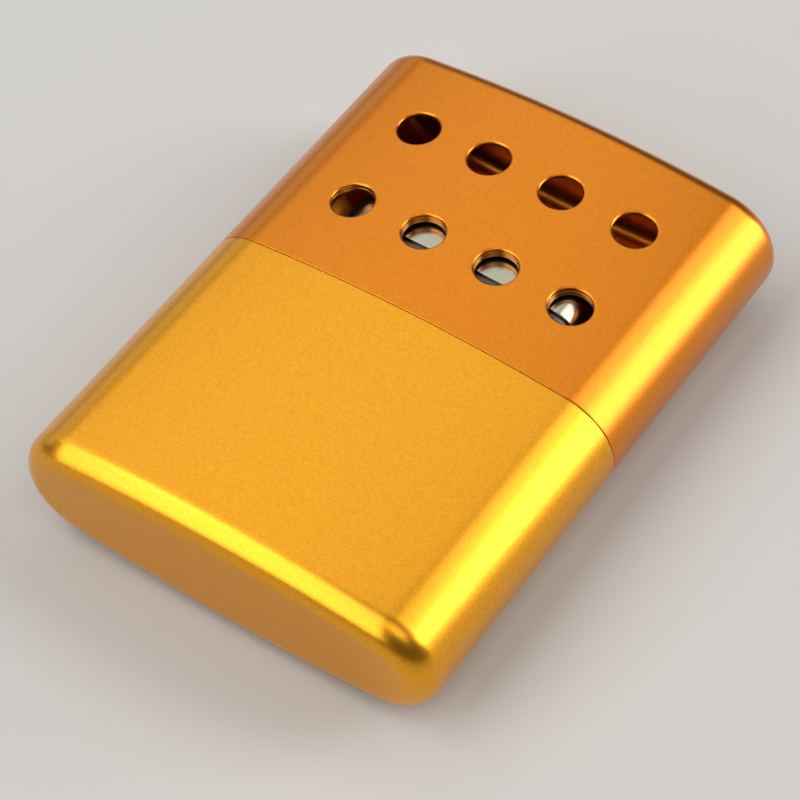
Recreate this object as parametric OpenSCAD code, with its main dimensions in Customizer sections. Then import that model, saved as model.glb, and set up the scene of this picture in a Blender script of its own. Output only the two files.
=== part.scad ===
// Catalytic pocket hand warmer. It lies on its back as photographed: +X across its width,
// +Y along it from the flat base to the cap, +Z up out of the vented front face. The origin is
// the middle of the back. Heights that end in _h are measured from the rim of the body, at the
// seam, towards the cap.

/* [Case] */
// Width across the two rounded sides
case_w = 54; // [50:0.5:60]
// Thickness at the crown of the two faces
case_t = 16.7; // [15.5:0.1:20]
// Radius of the shallow crown across each face
crown_r = 178; // [150:1:260]
// Length of the body, from its flat base to its rim
body_len = 36; // [32:0.5:44]
// Length of the cap, from its mouth to its end
cap_len = 35.4; // [34.5:0.1:44]
// Sheet thickness of the body and the cap
case_wall = 0.5; // [0.4:0.05:0.7]
// Edge radius round the base
base_edge_r = 3.1; // [2.2:0.1:4]
// Edge radius round the end of the cap
cap_edge_r = 2.2; // [1.8:0.1:3.5]
// Joint line between the body and the cap
seam_gap = 0.08; // [0.05:0.01:0.3]

/* [Vents] */
// Diameter of a vent hole
vent_d = 5; // [3.5:0.1:6]
// Distance between vents along a row
vent_pitch = 9.75; // [8:0.05:10.5]
// Number of vents in a row
vent_columns = 4; // [2:1:4]
// Height of the lower row above the body rim
vent_low_h = 10.65; // [9.5:0.05:11.5]
// Distance between the lower and the upper row
vent_row_step = 13.15; // [11:0.05:14]

/* [Inner can] */
// Sheet thickness of the inner can
can_wall = 0.6; // [0.4:0.05:0.8]
// Gap between the inner can and the body or the cap that slides over it
can_fit = 0.1; // [0.06:0.01:0.15]
// Sheet left above the lower vents, up to the rim of the can
collar_rim = 1.4; // [1:0.1:2]
// Height of the tank's lid above the body rim
lid_h = 3.5; // [2:0.1:5]
// Sheet thickness of the lid
lid_t = 0.5; // [0.4:0.05:0.8]
// Depth of the lid's downturned rim
lid_rim = 2; // [1.2:0.1:3]
// Gap between the lid's rim and the can
lid_fit = 0.05; // [0.03:0.01:0.1]

/* [Neck] */
// Width of the neck outside
neck_w = 31.2; // [28:0.1:34]
// Thickness of the neck outside
neck_t = 11.8; // [10.6:0.1:11.9]
// Corner radius of the neck outside
neck_corner_r = 3.2; // [2.4:0.1:4.5]
// Wall of the neck
neck_wall = 0.45; // [0.35:0.05:0.6]
// Height of the neck's mouth above the body rim
neck_top_h = 14.1; // [13.6:0.1:14.6]
// Gap between the seat and the clip that stands over it
seat_gap = 0.1; // [0.05:0.01:0.3]
// Sheet thickness of the seat
seat_t = 0.5; // [0.4:0.05:0.7]
// Edge radius round the top of the seat
seat_edge_r = 0.4; // [0.3:0.1:0.9]
// Solder gap round the neck, in the lid and in the seat
solder_gap = 0.03; // [0.02:0.01:0.05]

/* [Filling] */
// Gap round the felt and the cotton
soft_gap = 0.2; // [0.1:0.05:0.4]
// Depth of the felt below the neck's mouth
felt_drop = 1.6; // [1:0.1:3]

/* [Burner] */
// Sheet thickness of the hood and of its spring clip
burner_wall = 0.35; // [0.3:0.05:0.4]
// Running gap between the neck and the clip
burner_fit = 0.05; // [0.03:0.01:0.08]
// Gap between the clip and the hood round it
clip_fit = 0.03; // [0.02:0.01:0.05]
// Length of neck that the hood covers
hood_overlap = 4; // [3:0.1:4.4]
// Height of the hood from its open edge to its closed top
hood_len = 11.6; // [11.4:0.1:13]
// Edge radius round the top of the hood
hood_edge_r = 1.1; // [0.8:0.1:1.5]
// How far the clip shows below the hood
clip_lip = 0.65; // [0.3:0.05:0.9]
// How far the clip rises past the neck's mouth
clip_rise = 1.8; // [1.7:0.1:2]
// Width of the spring slits in the ends of the clip
slit_w = 0.6; // [0.4:0.1:0.9]
// Number of windows in each face of the hood
window_count = 7; // [4:1:7]
// Distance between windows
window_pitch = 3.4; // [2.8:0.1:3.6]
// Width of a window
window_w = 2.3; // [1.8:0.1:2.5]
// Height of a window
window_len = 4.2; // [3.4:0.1:4.4]
// Sheet left between the windows and the top of the hood
window_margin = 1.5; // [1.3:0.1:1.8]
// Diameter of the gauze wires
wire_d = 0.2; // [0.16:0.01:0.24]
// Distance between gauze wires
wire_pitch = 0.85; // [0.75:0.05:1.4]
// Thickness of the catalyst mat
mat_t = 1.1; // [0.8:0.1:1.3]
// Radius of the mat where it folds over the holder
mat_fold_r = 1.4; // [1.3:0.1:2.4]
// Width of the mat, the gauze and their holder
mat_w = 24; // [22:0.5:24.5]
// Sheet thickness of the mat's holder
holder_t = 0.3; // [0.2:0.05:0.4]
// Diameter of the holes in the mat's holder
holder_hole_d = 1.8; // [1.2:0.1:2.2]
// Diameter of a rivet's shank
rivet_d = 1; // [0.8:0.1:1.2]
// Diameter of a rivet's head
rivet_head_d = 1.9; // [1.6:0.1:2.2]
// Height of a rivet's head
rivet_head_h = 0.3; // [0.2:0.05:0.4]

/* [Hidden] */

gold_body = "#e9a038";
gold_cap = "#e08a28";
gold_inside = "#b8732a";
steel = "#c9ccd0";
chrome = "#d9dde2";
felt_white = "#e8e2d4";
cotton_white = "#f3f1ea";
mat_grey = "#b9b6ae";

// Round stretches of an outline, in straight steps
crown_steps = 13;
corner_steps = 10;
edge_steps = 6;
tiny = 0.01;

// The case section: two crowns of crown_r joined by fully round sides tangent to both
half_w = case_w / 2;
half_t = case_t / 2;
side_r = (2 * crown_r * half_t - half_w * half_w - half_t * half_t) / (2 * (crown_r - half_w));

// Places along the case, measured from the body rim
cap_mouth_h = seam_gap;
cap_end_h = cap_mouth_h + cap_len;
case_len = body_len + seam_gap + cap_len;
rim_y = body_len - case_len / 2;
vent_high_h = vent_low_h + vent_row_step;

// The inner can nests in the body and lines the mouth of the cap
can_inset = case_wall + can_fit;
can_top_h = vent_low_h + vent_d / 2 + collar_rim;
can_bottom_h = -body_len + case_wall + can_fit;
can_floor_h = can_bottom_h + can_wall;
can_edge_r = max(base_edge_r - can_inset, can_wall + tiny);
lid_inset = can_inset + can_wall + lid_fit;
wad_inset = can_inset + can_wall + soft_gap;
wad_count = 3;
wad_top_h = lid_h - lid_rim - soft_gap;
wad_len = (wad_top_h - can_floor_h - wad_count * soft_gap) / wad_count;

// The burner fits over the neck, one sheet outside the other. Each is the neck's outline moved
// out, so these are the outsets of the clip and the hood.
clip_out = burner_fit + burner_wall;
hood_out = clip_out + clip_fit + burner_wall;
clip_w = neck_w + 2 * clip_out;
hood_w = neck_w + 2 * hood_out;
hood_t = neck_t + 2 * hood_out;
hood_bottom_h = neck_top_h - hood_overlap;
hood_top_h = hood_bottom_h + hood_len;
clip_bottom_h = hood_bottom_h - clip_lip;
clip_top_h = neck_top_h + clip_rise;
seat_h = clip_bottom_h - seat_gap;
window_mid_h = hood_top_h - window_margin - window_len / 2;
rivet_h = (neck_top_h + clip_top_h) / 2;
rivet_gap = 0.03;

// Layers behind the windows, as distances from the middle plane of the case. The hood's crown
// leaves crown_sag more room at the middle of the flat gauze than at its edges.
layer_gap = 0.03;
crown_sag = mat_w * mat_w / (8 * (crown_r - half_t));
gauze_t = 1.6 * wire_d;
gauze_out = hood_t / 2 - burner_wall - crown_sag - 2 * layer_gap;
mat_out = gauze_out - gauze_t - layer_gap;
holder_out = mat_out - mat_t - layer_gap;
mat_top_h = hood_top_h - burner_wall - crown_sag;
mat_bottom_h = clip_top_h + 0.1;
holder_top_h = mat_top_h - mat_t - layer_gap;
holder_fold_r = max(mat_fold_r - mat_t - layer_gap, holder_t + tiny);

// Stands a shape that was drawn along its own Z on the body rim, pointing along the case
module along_case(h = 0) {
    translate([0, rim_y + h, half_t]) rotate([-90, 0, 0]) children();
}

// Points of an arc from angle a0 to a1 in n steps, without the first and last where open is set
function arc(centre, r, a0, a1, n, open = false) =
    [for (i = [(open ? 1 : 0):n - (open ? 1 : 0)])
        let (a = a0 + (a1 - a0) * i / n) centre + r * [cos(a), sin(a)]];

// Closed outline: two faces crowned about the same lines as the case, meeting the sides in
// tangent corners of radius r. hw and ht are its half width and half thickness. The outline is
// drawn moved inwards by inset.
function outline(hw, ht, r, inset) =
    let (low = half_t - crown_r, span = ht - low - r, a = asin((hw - r) / span),
        corner = [hw - r, low + span * cos(a)])
    distinct(concat(
        arc(corner, r - inset, 0, 90 - a, corner_steps),
        arc([0, low], span + r - inset, 90 - a, 90 + a, crown_steps, true),
        arc([-corner.x, corner.y], r - inset, 90 + a, 180, corner_steps),
        arc(-corner, r - inset, 180, 270 - a, corner_steps),
        arc([0, -low], span + r - inset, 270 - a, 270 + a, crown_steps, true),
        arc([corner.x, -corner.y], r - inset, 270 + a, 360, corner_steps)));

// A list of points without those that repeat the one before
function distinct(p) =
    [for (i = [0:len(p) - 1]) if (norm(p[i] - p[(i + len(p) - 1) % len(p)]) > 1e-6) p[i]];

function case_outline(inset) = outline(half_w, half_t, side_r, inset);

function neck_outline(outset) = outline(neck_w / 2, neck_t / 2, neck_corner_r, -outset);

// Rounded edge as [height, inset] pairs, from the side face (first) to the end face (last)
function edge(h, way, r, inset) =
    [for (i = [0:edge_steps]) let (a = 90 * i / edge_steps)
        [h - way * r * (1 - sin(a)), inset + r * (1 - cos(a))]];

function reversed(list) = [for (i = [len(list) - 1:-1:0]) list[i]];

// Solid through a pile of outlines, from the lowest to the highest
module loft(heights, outlines) {
    n = len(outlines[0]);
    last = len(outlines) - 1;
    polyhedron(
        points = [for (k = [0:last]) for (p = outlines[k]) [p.x, p.y, heights[k]]],
        faces = concat(
            [[for (i = [0:n - 1]) i]],
            [[for (i = [n - 1:-1:0]) last * n + i]],
            [for (k = [0:last - 1]) for (i = [0:n - 1]) let (j = (i + 1) % n)
                [k * n + i, (k + 1) * n + i, (k + 1) * n + j, k * n + j]]));
}

// Solid of the case section with one rounded end: closed_h is that end, open_h the other
module case_block(closed_h, open_h, edge_r, inset) {
    up = closed_h > open_h;
    rounded = edge(closed_h, up ? 1 : -1, edge_r, inset);
    pile = up ? concat([[open_h, inset]], rounded) : concat(reversed(rounded), [[open_h, inset]]);
    along_case() loft([for (p = pile) p[0]], [for (p = pile) case_outline(p[1])]);
}

// Drawn shell with an open mouth: the block less the same block one wall further in
module case_shell(closed_h, open_h, edge_r, inset, wall) {
    way = closed_h > open_h ? 1 : -1;
    difference() {
        case_block(closed_h, open_h, edge_r, inset);
        case_block(closed_h - way * wall, open_h - way, max(edge_r - wall, tiny), inset + wall);
    }
}

// Straight prism of the case section
module case_prism(from_h, to_h, inset) {
    along_case(from_h) linear_extrude(to_h - from_h) polygon(case_outline(inset));
}

// Straight prism of the neck's outline, moved out by outset
module neck_prism(from_h, to_h, outset) {
    along_case(from_h) linear_extrude(to_h - from_h) polygon(neck_outline(outset));
}

// The same with a rounded top edge
module neck_block(from_h, to_h, outset, edge_r) {
    pile = concat([[from_h, 0]], edge(to_h, 1, edge_r, 0));
    along_case() loft([for (p = pile) p[0]], [for (p = pile) neck_outline(outset - p[1])]);
}

// Slot with round ends along Y, through everything from z = 0 up to depth
module slot(w, length, depth) {
    straight = length - w;
    translate([-w / 2, -straight / 2, 0]) cube([w, straight, depth]);
    for (s = [-1, 1]) translate([0, s * straight / 2, 0]) cylinder(d = w, h = depth, $fn = 32);
}

// Row of vent holes through the front of a shell
module vent_row(h) {
    for (i = [0:vent_columns - 1])
        translate([(i - (vent_columns - 1) / 2) * vent_pitch, rim_y + h, half_t])
            cylinder(d = vent_d, h = case_t, $fn = 64);
}

// ---- Body ----

// Outer cup, drawn from sheet, open at the seam
module body_case() {
    color(gold_body) case_shell(-body_len, 0, base_edge_r, 0, case_wall);
}

// Can that holds the fuel; its collar guides the cap and lets air in through four vents
module inner_can() {
    color(gold_inside) difference() {
        case_shell(can_bottom_h, can_top_h, can_edge_r, can_inset, can_wall);
        vent_row(vent_low_h);
    }
}

// Pressed lid with a downturned rim and a hole for the neck
module tank_lid() {
    color(steel) difference() {
        case_prism(lid_h - lid_rim, lid_h, lid_inset);
        case_prism(lid_h - lid_rim - 1, lid_h - lid_t, lid_inset + lid_t);
        neck_prism(lid_h - lid_t - 1, lid_h + 1, solder_gap);
    }
}

// Riser pressed to the hood's outline, on which the burner stands
module burner_seat() {
    color(chrome) difference() {
        neck_block(lid_h + solder_gap, seat_h, hood_out, seat_edge_r);
        neck_block(lid_h - 1, seat_h - seat_t, hood_out - seat_t, max(seat_edge_r - seat_t, tiny));
        neck_prism(seat_h - seat_t - 1, seat_h + 1, solder_gap);
    }
}

// Mouth of the tank, soldered into the lid and the seat
module neck_tube() {
    color(chrome) difference() {
        neck_prism(lid_h - lid_t, neck_top_h, 0);
        neck_prism(lid_h - lid_t - 1, neck_top_h + 1, -neck_wall);
    }
}

// Felt plug that fills the neck and draws fuel up from the cotton
module wick_felt() {
    color(felt_white)
        neck_prism(wad_top_h + soft_gap, neck_top_h - felt_drop, -neck_wall - soft_gap);
}

// Wad of cotton that holds the fuel: wads are stacked from the can's floor, counted from 0
module cotton_wad(k) {
    from = can_floor_h + soft_gap + k * (wad_len + soft_gap);
    color(cotton_white)
        if (k == 0) case_block(from, from + wad_len, can_edge_r, wad_inset);
        else case_prism(from, from + wad_len, wad_inset);
}

module lower_wad() { cotton_wad(0); }

module middle_wad() { cotton_wad(1); }

module upper_wad() { cotton_wad(2); }

// ---- Burner ----

// Spring ring that grips the neck; slits in its ends leave two tongues
module burner_clip() {
    color(steel) difference() {
        neck_prism(clip_bottom_h, clip_top_h, clip_out);
        neck_prism(clip_bottom_h - 1, clip_top_h + 1, burner_fit);
        for (s = [-1, 1]) for (side = [-1, 1])
            translate([s * clip_w / 2, rim_y + clip_bottom_h,
                half_t + side * (neck_t / 2 - neck_corner_r)])
                cube([4 * burner_wall, 2 * hood_overlap, slit_w], center = true);
        rivet_holes();
    }
}

// Hood with a closed, rounded top and a row of windows in each face
module burner_hood() {
    color(chrome) difference() {
        neck_block(hood_bottom_h, hood_top_h, hood_out, hood_edge_r);
        neck_block(hood_bottom_h - 1, hood_top_h - burner_wall, hood_out - burner_wall,
            hood_edge_r - burner_wall);
        for (i = [0:window_count - 1])
            translate([(i - (window_count - 1) / 2) * window_pitch, rim_y + window_mid_h, -1])
                slot(window_w, window_len, case_t + 2);
        rivet_holes();
    }
}

module rivet_holes() {
    translate([-case_w / 2, rim_y + rivet_h, half_t]) rotate([0, 90, 0])
        cylinder(d = rivet_d + 2 * rivet_gap, h = case_w, $fn = 32);
}

// Two rivets through the hood and the clip, above the neck's mouth
module burner_rivets() {
    inner_face = neck_w / 2 + burner_fit - rivet_gap;
    outer_face = hood_w / 2 + rivet_gap;
    color(steel) for (turn = [90, -90])
        translate([0, rim_y + rivet_h, half_t]) rotate([0, turn, 0]) {
            translate([0, 0, outer_face]) rivet_head();
            translate([0, 0, inner_face - rivet_head_h])
                cylinder(d = 1.4 * rivet_d, h = rivet_head_h, $fn = 32);
            translate([0, 0, inner_face - tiny])
                cylinder(d = rivet_d, h = outer_face - inner_face + 2 * tiny, $fn = 32);
        }
}

// Domed head: a slice of the sphere that has the head's diameter and height
module rivet_head() {
    dome_r = (rivet_head_d * rivet_head_d / 4 + rivet_head_h * rivet_head_h) / (2 * rivet_head_h);
    intersection() {
        translate([0, 0, rivet_head_h - dome_r]) sphere(r = dome_r, $fn = 64);
        cylinder(d = rivet_head_d, h = rivet_head_h, $fn = 32);
    }
}

// Wire gauze between the windows and the mat: side is 1 for the front and -1 for the back
module gauze(side) {
    rows = floor((hood_top_h - hood_edge_r - mat_bottom_h - wire_d) / wire_pitch);
    columns = floor((mat_w - wire_d) / wire_pitch);
    tall = rows * wire_pitch + wire_d;
    wide = columns * wire_pitch + wire_d;
    face = half_t + side * (gauze_out - gauze_t / 2);
    color(steel) translate([0, rim_y + mat_bottom_h + tall / 2, face]) {
        for (i = [0:columns])
            translate([(i - columns / 2) * wire_pitch, 0, side * 0.3 * wire_d])
                cube([wire_d, tall, wire_d], center = true);
        for (k = [0:rows])
            translate([0, (k - rows / 2) * wire_pitch, -side * 0.3 * wire_d])
                cube([wide, wire_d, wire_d], center = true);
    }
}

module gauze_front() { gauze(1); }

module gauze_back() { gauze(-1); }

// Profile of a strip of thickness t folded over at the top with radius r, out to distance out
module fold(out, t, r, bottom_h, top_h) {
    difference() {
        fold_shape(out, r, bottom_h, top_h);
        fold_shape(out - t, max(r - t, tiny), bottom_h - 1, top_h - t);
    }
}

module fold_shape(out, r, bottom_h, top_h) {
    translate([-out, bottom_h]) square([2 * out, top_h - r - bottom_h]);
    translate([r - out, bottom_h]) square([2 * (out - r), top_h - bottom_h]);
    for (s = [-1, 1]) translate([s * (out - r), top_h - r]) circle(r = r, $fn = 48);
}

// Extrudes a profile drawn as (distance from the middle plane, height) across the case
module across_case(w) {
    translate([-w / 2, rim_y, half_t]) rotate([90, 0, 90]) linear_extrude(w)
        rotate(-90) mirror([1, 0]) children();
}

// Glass-fibre mat that carries the catalyst, folded over the holder
module catalyst_mat() {
    color(mat_grey) across_case(mat_w) fold(mat_out, mat_t, mat_fold_r, mat_bottom_h, mat_top_h);
}

// Perforated strip folded inside the mat, which presses it to the windows
module mat_holder() {
    color(steel) difference() {
        across_case(mat_w) fold(holder_out, holder_t, holder_fold_r, mat_bottom_h, holder_top_h);
        for (i = [0:window_count - 1])
            translate([(i - (window_count - 1) / 2) * window_pitch,
                rim_y + (mat_bottom_h + holder_top_h - holder_fold_r) / 2, -1])
                cylinder(d = holder_hole_d, h = case_t + 2, $fn = 32);
    }
}

// ---- Cap ----

// Outer cap, drawn from sheet, with two rows of vents in its front face
module cap_case() {
    color(gold_cap) difference() {
        case_shell(cap_end_h, cap_mouth_h, cap_edge_r, 0, case_wall);
        vent_row(vent_low_h);
        vent_row(vent_high_h);
    }
}

body_case();
inner_can();
tank_lid();
burner_seat();
neck_tube();
wick_felt();
lower_wad();
middle_wad();
upper_wad();
burner_clip();
burner_hood();
gauze_front();
gauze_back();
catalyst_mat();
mat_holder();
burner_rivets();
cap_case();
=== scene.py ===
import bmesh
import bpy
import numpy as np
from mathutils import Matrix, Quaternion, Vector


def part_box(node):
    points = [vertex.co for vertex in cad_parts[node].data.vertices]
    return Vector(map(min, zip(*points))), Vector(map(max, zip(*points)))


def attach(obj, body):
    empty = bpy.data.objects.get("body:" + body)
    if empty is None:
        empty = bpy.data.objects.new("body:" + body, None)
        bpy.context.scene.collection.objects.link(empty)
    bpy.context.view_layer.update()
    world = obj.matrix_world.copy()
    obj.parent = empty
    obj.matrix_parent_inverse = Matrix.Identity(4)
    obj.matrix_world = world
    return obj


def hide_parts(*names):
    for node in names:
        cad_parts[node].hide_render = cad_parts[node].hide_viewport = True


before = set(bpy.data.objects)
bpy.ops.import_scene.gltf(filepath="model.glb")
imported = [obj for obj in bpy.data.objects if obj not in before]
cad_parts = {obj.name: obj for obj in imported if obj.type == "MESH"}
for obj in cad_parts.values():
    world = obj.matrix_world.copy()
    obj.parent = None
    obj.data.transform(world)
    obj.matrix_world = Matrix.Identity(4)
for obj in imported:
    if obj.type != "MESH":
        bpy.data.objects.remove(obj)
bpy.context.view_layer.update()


# ---- Camera ----
# It looks down from beyond the right-hand corner of the base with a long lens, and is rolled a
# few degrees, as in the photograph. Its three axes point to its right, up, and backwards.
camera_place = Vector((0.12581, -0.15903, 0.25777))
camera_axes = Matrix(((0.81913, 0.57122, -0.05234), (-0.42271, 0.66281, 0.61807),
                      (0.38774, -0.48415, 0.78438)))
camera_data = bpy.data.cameras.new("camera")
camera_data.sensor_width = 36
camera_data.lens = 129.8
camera_data.clip_start = 0.01
camera = bpy.data.objects.new("camera", camera_data)
camera.matrix_world = Matrix.Translation(camera_place) @ camera_axes.transposed().to_4x4()
bpy.context.scene.collection.objects.link(camera)
bpy.context.scene.camera = camera
bpy.context.scene.view_settings.view_transform = "Standard"


# ---- Table and light ----
# A pale matt table in a dim white studio, with six softboxes round it. Each is named for where
# its highlight falls: the front face, the left and right sides, the shoulder between the face
# and the right side, the near corner of the base, and the edge of the base.
table_half = 3.0
lamp_distance = 1.0


def linear(code):
    """Linear colour of an sRGB hex code, each channel by the sRGB transfer curve."""
    c = np.array([int(code[i:i + 2], 16) for i in (1, 3, 5)]) / 255
    c = np.where(c <= 0.04045, c / 12.92, ((c + 0.055) / 1.055) ** 2.4)
    return (*c.tolist(), 1.0)


table_mesh = bpy.data.meshes.new("table")
table_mesh.from_pydata([(-table_half, -table_half, 0), (table_half, -table_half, 0),
                        (table_half, table_half, 0), (-table_half, table_half, 0)], [],
                       [(0, 1, 2, 3)])
table = bpy.data.objects.new("table", table_mesh)
bpy.context.scene.collection.objects.link(table)
table_paint = bpy.data.materials.new("matt table paint")
table_paint.use_nodes = True
table_skin = table_paint.node_tree.nodes["Principled BSDF"]
table_skin.inputs["Base Color"].default_value = linear("#c2c0bc")
table_skin.inputs["Roughness"].default_value = 0.9
table_skin.inputs["Specular IOR Level"].default_value = 0.1
table_mesh.materials.append(table_paint)

studio = bpy.data.worlds.new("studio")
studio.use_nodes = True
studio_air = studio.node_tree.nodes["Background"]
studio_air.inputs["Color"].default_value = linear("#ffffff")
studio_air.inputs["Strength"].default_value = 0.1
bpy.context.scene.world = studio


def softbox(name, way, turn, size, radiance):
    """Rectangular lamp facing the warmer from a direction, at lamp_distance and turned in its
    own plane by an angle in degrees. Its power is its radiance times its area times pi, so the
    radiance is what a mirror shows of it."""
    lamp = bpy.data.lights.new(name, "AREA")
    lamp.shape = "RECTANGLE"
    lamp.size, lamp.size_y = size
    lamp.energy = radiance * size[0] * size[1] * np.pi
    made = bpy.data.objects.new(name, lamp)
    made.location = Vector(way).normalized() * lamp_distance
    facing = made.location.to_track_quat("Z", "Y")
    made.rotation_euler = (facing @ Quaternion((0, 0, 1), np.radians(turn))).to_euler()
    bpy.context.scene.collection.objects.link(made)


softbox("front_face_softbox", way=(-0.48, 0.31, 0.82), turn=0, size=(1.1, 0.8), radiance=1.0)
softbox("left_side_softbox", way=(-0.88, 0.32, 0.28), turn=0, size=(1.3, 0.35), radiance=0.65)
softbox("shoulder_softbox", way=(0.34, 0.55, 0.76), turn=28, size=(0.5, 0.36), radiance=2.8)
softbox("right_side_softbox", way=(0.74, 0.60, 0.34), turn=22, size=(0.52, 0.82), radiance=5.2)
softbox("corner_softbox", way=(0.38, -0.24, 0.89), turn=35, size=(0.5, 0.62), radiance=1.5)
softbox("base_edge_softbox", way=(-0.40, -0.57, 0.70), turn=29, size=(0.75, 1.4), radiance=2.7)


# ---- Body case ----
# The lower half is a cup drawn from aluminium sheet, open at the seam. It is blasted with fine
# beads and anodised orange-gold, which leaves a satin grain. Sizes are in millimetres, and the
# outlines lie across the warmer, between the crowned front and back faces.
case_w = 54.0
case_t = 16.7
crown_r = 178.0
case_wall = 0.5
base_edge_r = 3.1
sheet_edge_r = 0.05
half_w = case_w / 2
half_t = case_t / 2
side_r = (2 * crown_r * half_t - half_w**2 - half_t**2) / (2 * (crown_r - half_w))
vent_pitch = 9.75
vent_steps = 16
case_columns = np.linspace(-2 * vent_pitch, 2 * vent_pitch, 4 * vent_steps + 1)
case_shape = (half_w, half_t, side_r, case_columns)
# Numbers of faces round a corner of the outline, from there to the first column, across a flat
# end, round the outside and inside of an end's edge, round a hole's edge and along a long side.
corner_steps = 24
gap_steps = 4
end_steps = 8
outer_steps = 14
inner_steps = 12
hole_steps = 6
side_steps = 22
# Narrow strips beside a rounded edge and a sheet's cut edge, so that they don't shade the flats.
edge_strip = 0.1
mouth_strip = 0.2
weld_distance = 1e-6


def ends(node):
    """Lowest and highest y of a node of the part, in millimetres."""
    return [corner[1] * 1000 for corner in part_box(node)]


def face_height(x, depth, side):
    """Height of the front (side 1) or back (side -1) face of a piece that is 2 * depth thick:
    a circle about the same line as the case's crown, so that nested sheets stay parallel."""
    low = half_t - crown_r
    return half_t + side * (low + np.sqrt((depth - low) ** 2 - x**2))


def outline(shape, inset):
    """Closed loop of (x, z) round a crowned section, moved inwards by inset: quarter arcs that
    are tangent to both faces at the corners, and points at fixed columns across the faces."""
    half_width, half_depth, corner_r, columns = shape
    low = half_t - crown_r
    span = half_depth - low - corner_r
    lean = np.arcsin((half_width - corner_r) / span)
    turn = np.linspace(0, np.pi / 2 - lean, corner_steps + 1)
    arc_x = half_width - corner_r + (corner_r - inset) * np.cos(turn)
    arc_z = low + span * np.cos(lean) + (corner_r - inset) * np.sin(turn)
    between = np.linspace(arc_x[-1], columns[-1], gap_steps + 1)[1:-1]
    face_x = np.concatenate([between, columns[::-1], -between[::-1]])
    face_z = face_height(face_x, half_depth - inset, 1) - half_t
    x = np.concatenate([arc_x, face_x, -arc_x[::-1]])
    z = np.concatenate([arc_z, face_z, arc_z[::-1]])
    return np.concatenate([x, x[-2:0:-1]]), np.concatenate([z, -z[-2:0:-1]]) + half_t


def loft(shape, profile):
    """Grid of points on the surface whose row k is the outline moved in by the k-th inset of
    the profile and placed at its k-th distance along the warmer."""
    rows = np.array([outline(shape, inset) for inset in profile[:, 1]])
    x, z = rows[:, 0], rows[:, 1]
    return np.stack([x, np.broadcast_to(profile[:, :1], x.shape), z], axis=2)


def flat_end(loop):
    """Grid of points across a flat end: straight lines from the front half of a closed outline
    to the points below them in its back half."""
    half = len(loop) // 2 + 1
    front = loop[:half]
    back = np.concatenate([loop[:1], loop[:half - 1:-1], loop[half - 1:half]])
    t = np.linspace(0, 1, end_steps + 1)[:, None, None]
    return front + (back - front) * t


def quads(grid, ring, start):
    """Corner numbers of the faces of a grid of points, where a ring joins its last column to
    its first."""
    rows, columns = grid.shape[:2]
    i, j = np.meshgrid(np.arange(rows - 1), np.arange(columns if ring else columns - 1),
                       indexing="ij")
    k = (j + 1) % columns
    corners = np.stack([i * columns + j, i * columns + k, (i + 1) * columns + k,
                        (i + 1) * columns + j], axis=-1)
    return corners.reshape(-1, 4) + start


def make_piece(name, grids, keep=None):
    """Piece made of grids of points in millimetres, each with a mark that says whether it is a
    ring. Points that coincide are joined, faces point outwards, and keep picks the faces of the
    first grid that stay, by their four corners."""
    points, faces, start = [], [], 0
    for grid, ring in grids:
        made = quads(grid, ring, start)
        if keep is not None and start == 0:
            made = made[keep(grid.reshape(-1, 3)[made])]
        points.append(grid.reshape(-1, 3))
        faces.append(made)
        start += grid.shape[0] * grid.shape[1]
    mesh = bpy.data.meshes.new(name)
    mesh.from_pydata((np.concatenate(points) / 1000).tolist(), [],
                     np.concatenate(faces).tolist())
    work = bmesh.new()
    work.from_mesh(mesh)
    bmesh.ops.remove_doubles(work, verts=work.verts, dist=weld_distance)
    bmesh.ops.recalc_face_normals(work, faces=work.faces)
    work.to_mesh(mesh)
    work.free()
    mesh.shade_smooth()
    piece = bpy.data.objects.new(name, mesh)
    bpy.context.scene.collection.objects.link(piece)
    return piece


def rounded(r, steps):
    """(along, in) pairs of a quarter circle of radius r, from a wall to the end face that caps
    it: along is measured back from the end and falls from r to 0, and in rises from 0 to r."""
    a = np.linspace(0, np.pi / 2, steps + 1)
    return np.stack([r * (1 - np.sin(a)), r * (1 - np.cos(a))], axis=1)


cut_edge = rounded(sheet_edge_r, 3)


def steps_between(*stops):
    """Distances along a straight wall: stops given in turn with the number of equal steps
    between them, as in start, steps, stop, steps, stop."""
    runs = [np.linspace(a, b, n + 1)[1:] for a, n, b in
            zip(stops[:-2:2], stops[1:-1:2], stops[2::2])]
    return np.concatenate([[stops[0]], *runs])


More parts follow.
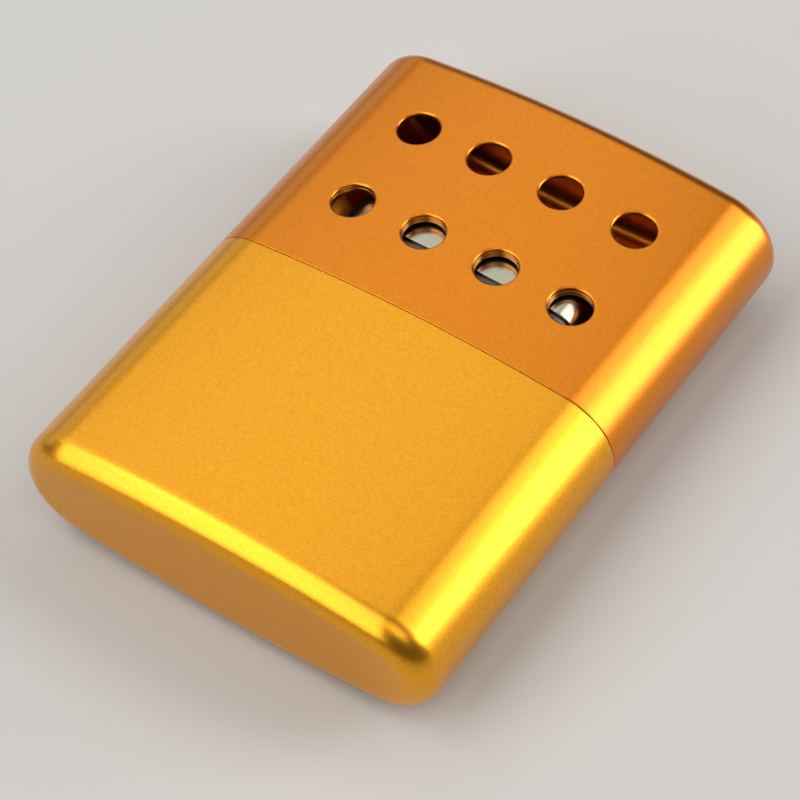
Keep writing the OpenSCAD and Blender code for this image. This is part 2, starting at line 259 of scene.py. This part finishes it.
def opening(cell, counts, middle, radius, straight, lip, depth, wall, side):
    """Ring grid that joins the border of a rectangular cell of a face to a round-ended hole in
    it: in over the outer face, round the lip that the punch draws in, through the wall, round
    the inner edge, and out over the inner face. Each point runs straight at the nearest point
    of the hole's axis line, and the rows lie closer together near the hole."""
    (x0, x1, y0, y1), (nx, ny) = cell, counts
    xs, ys = np.linspace(x0, x1, nx + 1), np.linspace(y0, y1, ny + 1)
    border = np.concatenate([
        np.stack([xs[:-1], np.full(nx, y0)], 1), np.stack([np.full(ny, x1), ys[:-1]], 1),
        np.stack([xs[:0:-1], np.full(nx, y1)], 1), np.stack([np.full(ny, x0), ys[:0:-1]], 1)])
    nearest = np.clip(border[:, 1], middle[1] - straight / 2, middle[1] + straight / 2)
    axis = np.stack([np.full(len(border), middle[0]), nearest], 1)
    away = (border - axis) / np.linalg.norm(border - axis, axis=1)[:, None]
    shares = np.array([1, 0.6, 0.3, 0.12, 0.03, 0])
    halves = []
    for edge in (lip, sheet_edge_r):
        rim = axis + away * (radius + edge)
        spread, drop = rounded(edge, hole_steps)[1:].T
        face_xy = rim + (border - rim) * shares[:, None, None]
        edge_xy = axis + away * (radius + spread)[:, None, None]
        halves.append((np.concatenate([face_xy, edge_xy]), np.concatenate([0 * shares, drop])))
    (outer_xy, outer_down), (inner_xy, inner_down) = halves
    xy = np.concatenate([outer_xy, inner_xy[::-1]])
    down = np.concatenate([outer_down, -inner_down[::-1]])
    deep = np.repeat([depth, depth - wall], len(outer_down))
    z = face_height(xy[:, :, 0], deep[:, None], side) - side * down[:, None]
    return np.concatenate([xy, z[:, :, None]], axis=2)


def drawn_shell(name, shape, inset, wall, mouth, end, edge_r, walls, cells=(), sides=(1,)):
    """Cup drawn from sheet: a profile that runs from the closed end round its edge, along the
    wall to the mouth, over the sheet's edge and back inside. Each cell is (border, counts,
    middle, radius, straight, lip) of an opening in the faces named by sides."""
    way = 1 if mouth > end else -1
    length = way * (mouth - end)
    along = np.sort(way * (walls - end))[:, None] * [1, 0]
    outer_end, inner_end = rounded(edge_r, outer_steps), rounded(edge_r - wall, inner_steps)
    profile = np.concatenate([
        outer_end[-1:] + [0, edge_strip], outer_end[::-1], along,
        [length, 0] + cut_edge * [-1, 1], ([length, wall] - cut_edge)[::-1],
        along[::-1] + [0, wall], inner_end + wall, inner_end[-1:] + [wall, wall + edge_strip]])
    surface = loft(shape, profile * [way, 1] + [end, inset])
    grids = [(surface, True), (flat_end(surface[0]), False), (flat_end(surface[-1]), False)]
    for cell in cells:
        grids += [(opening(*cell, shape[1] - inset, wall, side), True) for side in sides]

    def outside_cells(corners):
        centre = corners.mean(axis=1)
        hit = np.zeros(len(centre), bool)
        for x0, x1, y0, y1 in [cell[0] for cell in cells]:
            hit |= ((centre[:, 0] > x0) & (centre[:, 0] < x1) & (centre[:, 1] > y0)
                    & (centre[:, 1] < y1) & np.isin(np.sign(centre[:, 2] - half_t), sides))
        return ~hit

    return make_piece(name, grids, outside_cells if cells else None)


# Sockets of a Mix node that blends two shades: its share, its first and second shade, and what
# comes out.
mix_share, mix_first, mix_second, mix_result = 0, 6, 7, 2


def shader(finish, kind, settings, links=()):
    """Adds a node to a finish. Settings go to its properties or to the inputs of those names,
    and links feed its inputs from outputs of other nodes."""
    made = finish.node_tree.nodes.new("ShaderNode" + kind)
    for name, value in settings.items():
        if isinstance(name, str) and hasattr(made, name):
            setattr(made, name, value)
        else:
            made.inputs[name].default_value = value
    for name, output in dict(links).items():
        finish.node_tree.links.new(output, made.inputs[name])
    return made


def new_finish(name, code, metallic, roughness):
    """Material with a plain base colour, and its skin, the main shader, to build on."""
    finish = bpy.data.materials.new(name)
    finish.use_nodes = True
    skin = finish.node_tree.nodes["Principled BSDF"]
    skin.inputs["Base Color"].default_value = linear(code)
    skin.inputs["Metallic"].default_value = metallic
    skin.inputs["Roughness"].default_value = roughness
    return finish, skin


def blasted_anodised(name, code_a, code_b):
    """Bead-blasted anodised aluminium: dents, each a little darker or lighter by how much dye it
    took, under a clear hard skin. Beads leave dents of about 0.1 mm, and these are 0.3 mm, so
    that their grain shows."""
    finish, skin = new_finish(name, code_a, 1.0, 0.31)
    skin.inputs["Coat Weight"].default_value = 0.4
    skin.inputs["Coat Roughness"].default_value = 0.26
    place = shader(finish, "TexCoord", {})
    dents = shader(finish, "TexNoise", {"Scale": 1000 / 0.3, "Detail": 2.0, "Roughness": 0.6},
                   {"Vector": place.outputs["Object"]})
    dye = shader(finish, "MapRange", {"From Min": 0.3, "From Max": 0.7},
                 {"Value": dents.outputs["Fac"]})
    blend = shader(finish, "Mix", {"data_type": "RGBA", mix_first: linear(code_a),
                                   mix_second: linear(code_b)},
                   {mix_share: dye.outputs["Result"]})
    finish.node_tree.links.new(blend.outputs[mix_result], skin.inputs["Base Color"])
    bump = shader(finish, "Bump", {"Strength": 0.4, "Distance": 0.00002},
                  {"Height": dents.outputs["Fac"]})
    finish.node_tree.links.new(bump.outputs["Normal"], skin.inputs["Normal"])
    return finish


def fit_piece(piece, finish, body, node):
    """Gives a piece its finish and body, and lets it stand for a node of the part."""
    piece.data.materials.append(finish)
    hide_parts(node)
    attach(piece, body)


base_y, rim_y = ends("body_case")
body_walls = steps_between(base_y + base_edge_r + edge_strip, side_steps, rim_y - mouth_strip)
body_case = drawn_shell("body_case_sheet", case_shape, 0, case_wall, rim_y, base_y, base_edge_r,
                        body_walls)
body_finish = blasted_anodised("blasted orange-gold body", "#e69a0e", "#f6ab16")
fit_piece(body_case, body_finish, "tank", "body_case")


# ---- Inner can ----
# The fuel can nests in the body. Its collar stands past the seam to guide the cap, and four
# vents punched in it, with small lips, line up with the lower row of the cap.
can_inset = 0.6
can_wall = 0.6
can_edge_r = 2.5
can_lip = 0.1
collar_strip = 0.3
vent_r = 2.5
seam_to_vents = 10.65
vent_rows_apart = 13.15
vent_low_y = rim_y + seam_to_vents
vent_high_y = vent_low_y + vent_rows_apart


def vent_cells(y, reach, lip):
    """A row of four vents at y, one pitch apart, each in a cell that reaches so far along."""
    return [((x - vent_pitch / 2, x + vent_pitch / 2, y - reach, y + reach),
             (vent_steps, vent_steps), (x, y), vent_r, 0, lip)
            for x in vent_pitch * np.array([-1.5, -0.5, 0.5, 1.5])]


can_base_y, can_top_y = ends("inner_can")
can_reach = can_top_y - collar_strip - vent_low_y
can_walls = steps_between(
    can_base_y + can_edge_r + edge_strip, side_steps, vent_low_y - can_reach, vent_steps,
    vent_low_y + can_reach, 1, can_top_y - mouth_strip)
inner_can = drawn_shell("inner_can_sheet", case_shape, can_inset, can_wall, can_top_y,
                        can_base_y, can_edge_r, can_walls,
                        vent_cells(vent_low_y, can_reach, can_lip))
# The can's two shades are darker than the body's: painted shade, for the can standing under the
# cap where less light reaches it.
can_painted_shade_finish = blasted_anodised("anodised can darkened as painted shade", "#bd7118", "#ca7e20")
fit_piece(inner_can, can_painted_shade_finish, "tank", "inner_can")


# ---- Tank lid ----
# Pressed from plain stainless sheet, with a downturned rim that fits inside the can. It closes
# the can and carries the neck.
def mottle(finish, skin, size, code_a, code_b):
    """Blends the base colour between two shades by a cloud of the given size in millimetres,
    and gives back the node that the cloud takes its place from."""
    place = shader(finish, "TexCoord", {})
    cloud = shader(finish, "TexNoise", {"Scale": 1000 / size, "Detail": 3.0},
                   {"Vector": place.outputs["Object"]})
    blend = shader(finish, "Mix", {"data_type": "RGBA", mix_first: linear(code_a),
                                   mix_second: linear(code_b)},
                   {mix_share: cloud.outputs["Fac"]})
    finish.node_tree.links.new(blend.outputs[mix_result], skin.inputs["Base Color"])
    return place


def pressed_steel(name, code_a, code_b):
    """Rolled steel sheet, pressed to shape: faint rolling lines along the warmer, 0.15 mm wide,
    that spread its highlights a little across them."""
    finish, skin = new_finish(name, code_a, 1.0, 0.3)
    place = mottle(finish, skin, 2.0, code_a, code_b)
    stretch = shader(finish, "Mapping", {"Scale": (1.0, 0.06, 1.0)},
                     {"Vector": place.outputs["Object"]})
    lines = shader(finish, "TexNoise", {"Scale": 1000 / 0.15, "Detail": 2.0},
                   {"Vector": stretch.outputs["Vector"]})
    bump = shader(finish, "Bump", {"Strength": 0.2, "Distance": 0.00001},
                  {"Height": lines.outputs["Fac"]})
    finish.node_tree.links.new(bump.outputs["Normal"], skin.inputs["Normal"])
    return finish


def refinish(node, finish):
    """Gives a node of the part, whose shape is right as it is, a better finish."""
    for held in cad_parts[node].material_slots:
        held.material = finish


steel_finish = pressed_steel("pressed stainless sheet", "#b9bcc0", "#c6c8ca")
refinish("tank_lid", steel_finish)


# ---- Burner seat ----
# A riser pressed to the burner's outline and plated. The burner's clip stands over it, just
# clear of it.
neck_w = 31.2
neck_t = 11.8
neck_corner_r = 3.2
window_count = 7
window_pitch = 3.4
window_steps = 10
window_reach = window_count / 2 * window_pitch
neck_columns = np.linspace(-window_reach, window_reach, window_count * window_steps + 1)
neck_shape = (neck_w / 2, neck_t / 2, neck_corner_r, neck_columns)
hood_out = 0.78
solder_gap = 0.03
seat_t = 0.5
seat_edge_r = 0.4
seat_bend_r = 0.06


def sleeve(name, shape, profile):
    """Ring of sheet: the outline carried round a closed profile of (y, inset) pairs."""
    surface = loft(shape, np.concatenate([profile, profile[:1]]))
    return make_piece(name, [(surface, True)])


def plated(name, code_a, code_b, roughness):
    """Polished plate with faint waves in it, and a roughness that wanders a little."""
    finish, skin = new_finish(name, code_a, 1.0, roughness)
    place = mottle(finish, skin, 4.0, code_a, code_b)
    haze = shader(finish, "TexNoise", {"Scale": 1000 / 0.8, "Detail": 4.0},
                  {"Vector": place.outputs["Object"]})
    reach = shader(finish, "MapRange", {"To Min": roughness * 0.6, "To Max": roughness * 1.5},
                   {"Value": haze.outputs["Fac"]})
    finish.node_tree.links.new(reach.outputs["Result"], skin.inputs["Roughness"])
    bump = shader(finish, "Bump", {"Strength": 0.05, "Distance": 0.00002},
                  {"Height": haze.outputs["Fac"]})
    finish.node_tree.links.new(bump.outputs["Normal"], skin.inputs["Normal"])
    return finish


# The profile goes up the outside, in over the top, down the edge by the neck and back inside,
# with a point close to each bend to keep the flats between them even.
seat_low, seat_top = ends("burner_seat")
seat_under = seat_top - seat_t
seat_inside = seat_t - hood_out
burner_seat = sleeve("burner_seat_pressing", neck_shape, np.concatenate([
    [[seat_low + mouth_strip, -hood_out], [seat_top - seat_edge_r - edge_strip, -hood_out]],
    [seat_top, -hood_out] + rounded(seat_edge_r, 8) * [-1, 1],
    [[seat_top, seat_edge_r - hood_out + 0.05], [seat_top, -0.15]],
    ([seat_top, -solder_gap] - cut_edge)[::-1],
    [seat_under, -solder_gap] + cut_edge * [1, -1],
    [[seat_under, -0.12], [seat_under, seat_inside + edge_strip]],
    [seat_under, seat_inside] + (rounded(seat_bend_r, 3) * [-1, 1])[::-1],
    [seat_low, seat_inside] + cut_edge * [1, -1],
    ([seat_low, -hood_out] + cut_edge)[::-1]]))
chrome_finish = plated("polished plate", "#a9a590", "#bab69f", roughness=0.2)
fit_piece(burner_seat, chrome_finish, "tank", "burner_seat")


# ---- Neck tube ----
# The mouth of the tank, a plated tube soldered into the lid and the seat. Fuel is poured in
# here, and the burner's clip grips it outside.
neck_wall = 0.45
neck_foot, neck_mouth = ends("neck_tube")
neck_tube = sleeve("neck_tube_sleeve", neck_shape, np.concatenate([
    [neck_mouth, 0] + cut_edge * [-1, 1], ([neck_mouth, neck_wall] - cut_edge)[::-1],
    [neck_foot, neck_wall] + cut_edge * [1, -1], ([neck_foot, 0] + cut_edge)[::-1]]))
neck_finish = plated("plated neck", "#c9ccd0", "#d4d6d9", roughness=0.12)
fit_piece(neck_tube, neck_finish, "tank", "neck_tube")


# ---- Wick felt ----
# A block of pressed felt that fills the neck and draws the fuel up from the cotton. It is soft,
# so its top is a little domed and its edges are rounded.
wave_count = 7


def soft_block(name, shape, low, high, inset, edge_r, crown, lump, seed):
    """Closed soft block of the outline with rounded edges. Its upper end is domed by crown, and
    its skin is drawn in by up to lump where a sum of sine waves, with turns and phases from the
    seed, is high."""
    side = steps_between(low + edge_r + edge_strip, 16, high - crown - edge_r - edge_strip)
    edge = rounded(edge_r, 6)
    surface = loft(shape, np.concatenate([
        [[low, inset + edge_r + edge_strip]], ([low, inset] + edge)[::-1],
        np.stack([side, 0 * side + inset], 1),
        [high - crown, inset] + edge * [-1, 1], [[high - crown, inset + edge_r + edge_strip]]]))
    grids = [surface, flat_end(surface[0]), flat_end(surface[-1])]
    draw = np.random.default_rng(seed)
    turn = draw.normal(0, 0.9, (wave_count, 3))
    phase = draw.uniform(0, 2 * np.pi, wave_count)
    middle = np.array([0, (low + high) / 2, half_t])
    for grid in grids:
        wave = np.sin(np.einsum("rck,wk->wrc", grid, turn) + phase[:, None, None]).mean(axis=0)
        out = (grid - middle) / [shape[0], (high - low) / 2, shape[1]]
        near_top = np.clip((grid[..., 1] - low) / (high - low), 0, 1) ** 8
        dome = np.clip(1 - out[..., 0] ** 2 - out[..., 2] ** 2, 0, 1)
        grid -= out * (lump * (1 + wave) / 2)[..., None]
        grid[..., 1] += crown * dome * near_top
    return make_piece(name, [(grids[0], True), (grids[1], False), (grids[2], False)])


def fibrous(name, code_a, code_b, fibre, lift):
    """Matted fibre: bright and dark strands of the given width in millimetres, raised by lift,
    under a soft sheen."""
    finish, skin = new_finish(name, code_a, 0.0, 0.95)
    skin.inputs["Specular IOR Level"].default_value = 0.15
    skin.inputs["Sheen Weight"].default_value = 0.35
    skin.inputs["Sheen Roughness"].default_value = 0.5
    place = shader(finish, "TexCoord", {})
    strands = shader(finish, "TexNoise", {"Scale": 1000 / (4 * fibre), "Detail": 6.0,
                                          "Distortion": 2.5},
                     {"Vector": place.outputs["Object"]})
    blend = shader(finish, "Mix", {"data_type": "RGBA", mix_first: linear(code_a),
                                   mix_second: linear(code_b)},
                   {mix_share: strands.outputs["Fac"]})
    bump = shader(finish, "Bump", {"Strength": 0.8, "Distance": lift / 1000},
                  {"Height": strands.outputs["Fac"]})
    finish.node_tree.links.new(blend.outputs[mix_result], skin.inputs["Base Color"])
    finish.node_tree.links.new(bump.outputs["Normal"], skin.inputs["Normal"])
    return finish


wick_felt = soft_block("wick_felt_block", neck_shape, *ends("wick_felt"), inset=0.65, edge_r=0.8,
                       crown=0.3, lump=0.06, seed=3)
felt_finish = fibrous("pressed white felt", "#d8d1c0", "#efeadd", fibre=0.06, lift=0.12)
fit_piece(wick_felt, felt_finish, "tank", "wick_felt")


# ---- Cotton wads ----
# Three wads of loose cotton wadding, laid flat and stacked in the can. They soak up the fuel
# and hold it for the felt to draw.
cotton_finish = fibrous("cotton wadding", "#e9e6dc", "#f8f6f0", fibre=0.1, lift=0.4)
for seed, node in enumerate(("lower_wad", "middle_wad", "upper_wad"), start=11):
    wad = soft_block(node + "_cotton", case_shape, *ends(node), inset=1.4, edge_r=2.4, crown=0.2,
                     lump=0.25, seed=seed)
    fit_piece(wad, cotton_finish, "tank", node)


# ---- Burner clip ----
# A spring ring of steel riveted inside the hood. Slits in its ends leave two tongues that grip
# the neck. Its dark grey colour is painted shade for the gap, so that its lower edge shows dark
# between the hood and the seat.
clip_painted_shade_finish = pressed_steel("spring steel painted dark for shade", "#545051", "#625e5f")
refinish("burner_clip", clip_painted_shade_finish)


# ---- Burner hood ----
# The polished cover of the burner, drawn from sheet, with seven windows punched in each face
# through which the catalyst breathes. Its face shows bright behind the lower vents.
hood_wall = 0.35
hood_edge_r = 1.1
window_w = 2.3
window_len = 4.2
window_lip = 0.12
window_margin = 1.5
hood_low, hood_top = ends("burner_hood")
window_y = hood_top - window_margin - window_len / 2
window_rows = (window_y - 2.5, window_y + 2.3)
hood_shape = (neck_w / 2 + hood_out, neck_t / 2 + hood_out, neck_corner_r + hood_out,
              neck_columns)
window_cells = [((x - window_pitch / 2, x + window_pitch / 2, *window_rows),
                 (window_steps, window_steps), (x, window_y), window_w / 2,
                 window_len - window_w, window_lip)
                for x in window_pitch * (np.arange(window_count) - (window_count - 1) / 2)]
hood_walls = steps_between(hood_low + mouth_strip, 8, window_rows[0], window_steps,
                           window_rows[1], 1, hood_top - hood_edge_r - edge_strip)
burner_hood = drawn_shell("burner_hood_pressing", hood_shape, 0, hood_wall, hood_low, hood_top,
                          hood_edge_r, hood_walls, window_cells, (1, -1))
fit_piece(burner_hood, chrome_finish, "burner", "burner_hood")


# ---- Gauze ----
# Wire gauze, woven and rolled flat, keeps the catalyst from the windows. Heat has tinted the
# wire brown. Its wires are further apart than in a fine gauze, to match the part.
wire_pitch = 0.85
wire_sides = 8
wire_steps = 8
# A plain weave is four wire radii deep, and this leaves it a little inside the node.
weave_depth = 4.2


def woven_gauze(name, node):
    """Plain-woven wires: each is a tube whose height follows a cosine that changes sign from
    one crossing to the next, with warp and weft in opposite phase."""
    low, high = np.array(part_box(node)) * 1000
    middle = (low + high) / 2
    wire_r = (high[2] - low[2]) / weave_depth
    counts = np.rint((high - low)[:2] / wire_pitch).astype(int)
    turn = np.linspace(0, 2 * np.pi, wire_sides + 1)[:-1]
    grids = []
    for along, across in ((0, 1), (1, 0)):
        run = np.linspace(low[along], high[along], wire_steps * counts[along] + 1)
        crossings = (np.arange(counts[across] + 1) - counts[across] / 2) * wire_pitch
        steps = (run - middle[along]) / wire_pitch + counts[along] / 2
        radius = np.full((len(run), 1), wire_r)
        radius[[0, -1]] = 0
        for number, place in enumerate(crossings):
            wave = wire_r * np.cos(np.pi * (steps + number + along))
            tube = np.empty((len(run), wire_sides, 3))
            tube[..., along] = run[:, None]
            tube[..., across] = middle[across] + place + radius * np.cos(turn)
            tube[..., 2] = middle[2] + wave[:, None] + radius * np.sin(turn)
            grids.append((tube, True))
    return make_piece(name, grids)


def gauze_wire(name, code_a, code_b):
    """Wire browned by heat in patches."""
    finish, skin = new_finish(name, code_a, 1.0, 0.38)
    mottle(finish, skin, 1.5, code_a, code_b)
    return finish


gauze_finish = gauze_wire("heat-tinted wire", "#7d766d", "#a79a86")
for node in ("gauze_front", "gauze_back"):
    gauze = woven_gauze(node + "_woven", node)
    fit_piece(gauze, gauze_finish, "burner", node)


# ---- Catalyst mat ----
# Glass fibre matted into a soft strip and coated with platinum, which greys it. It is folded
# over its holder behind the gauze.
mat_low, mat_high = np.array(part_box("catalyst_mat")) * 1000
mat_t = 1.1
mat_fold_r = 1.4
mat_steps = 60
fold_steps = 8
top_steps = 12


def fold(out, r, top):
    """(out, along) pairs of a strip folded over at the top: two straight legs out from the
    middle, two quarter circles of radius r, and a flat run between them."""
    a = np.linspace(0, np.pi / 2, fold_steps + 1)
    rise = np.stack([out - r + r * np.cos(a), top - r + r * np.sin(a)], axis=1)
    leg = np.linspace(mat_low[1], top - r, fold_steps + 1)[:-1]
    half = np.concatenate([np.stack([0 * leg + out, leg], axis=1), rise])
    run = np.linspace(out - r, r - out, top_steps + 1)[1:-1]
    return np.concatenate([half, np.stack([run, 0 * run + top], 1), half[::-1] * [-1, 1]])


mat_out = (mat_high[2] - mat_low[2]) / 2
mat_outer = fold(mat_out, mat_fold_r, mat_high[1])
mat_inner = fold(mat_out - mat_t, mat_fold_r - mat_t, mat_high[1] - mat_t)
mat_x = np.linspace(mat_low[0], mat_high[0], mat_steps + 1)
mat_layers = np.array([mat_outer, (mat_outer + mat_inner) / 2, mat_inner])
mat_ring = np.concatenate([mat_outer, mat_layers[1:2, -1], mat_inner[::-1], mat_layers[1:2, 0],
                           mat_outer[:1]])
mat_skin = np.stack(np.broadcast_arrays(mat_x[:, None], mat_ring[:, 1], half_t + mat_ring[:, 0]),
                    axis=2)
mat_ends = [np.stack(np.broadcast_arrays(x, mat_layers[..., 1], half_t + mat_layers[..., 0]),
                     axis=2) for x in mat_x[[0, -1]]]
catalyst_mat = make_piece("catalyst_mat_fibre",
                          [(mat_skin, False), (mat_ends[0], False), (mat_ends[1], False)])
mat_finish = fibrous("platinum-coated glass fibre", "#5d5a55", "#8b877f", fibre=0.08, lift=0.2)
fit_piece(catalyst_mat, mat_finish, "burner", "catalyst_mat")


# ---- Mat holder and rivets ----
# A perforated strip of stainless sheet, folded inside the mat, presses it to the windows. Two
# rivets hold the hood to its clip.
refinish("mat_holder", steel_finish)
rivet_finish = pressed_steel("rivet steel", "#c3c5c7", "#d0d1d2")
refinish("burner_rivets", rivet_finish)


# ---- Cap case ----
# The upper half, drawn and finished like the body, in a shade deeper and more orange. Two rows
# of four vents are punched in its front face, which draws their lips in further than the can's.
cap_edge_r = 2.2
vent_lip = 0.3
cap_reach = vent_pitch / 2
cap_mouth_y, cap_top_y = ends("cap_case")
cap_walls = steps_between(
    cap_mouth_y + mouth_strip, 10, vent_low_y - cap_reach, vent_steps, vent_low_y + cap_reach, 5,
    vent_high_y - cap_reach, vent_steps, vent_high_y + cap_reach, 7,
    cap_top_y - cap_edge_r - edge_strip)
cap_case = drawn_shell("cap_case_sheet", case_shape, 0, case_wall, cap_mouth_y, cap_top_y,
                       cap_edge_r, cap_walls,
                       vent_cells(vent_low_y, cap_reach, vent_lip)
                       + vent_cells(vent_high_y, cap_reach, vent_lip))
cap_finish = blasted_anodised("blasted orange-gold cap", "#da7b05", "#e78907")
fit_piece(cap_case, cap_finish, "cap", "cap_case")
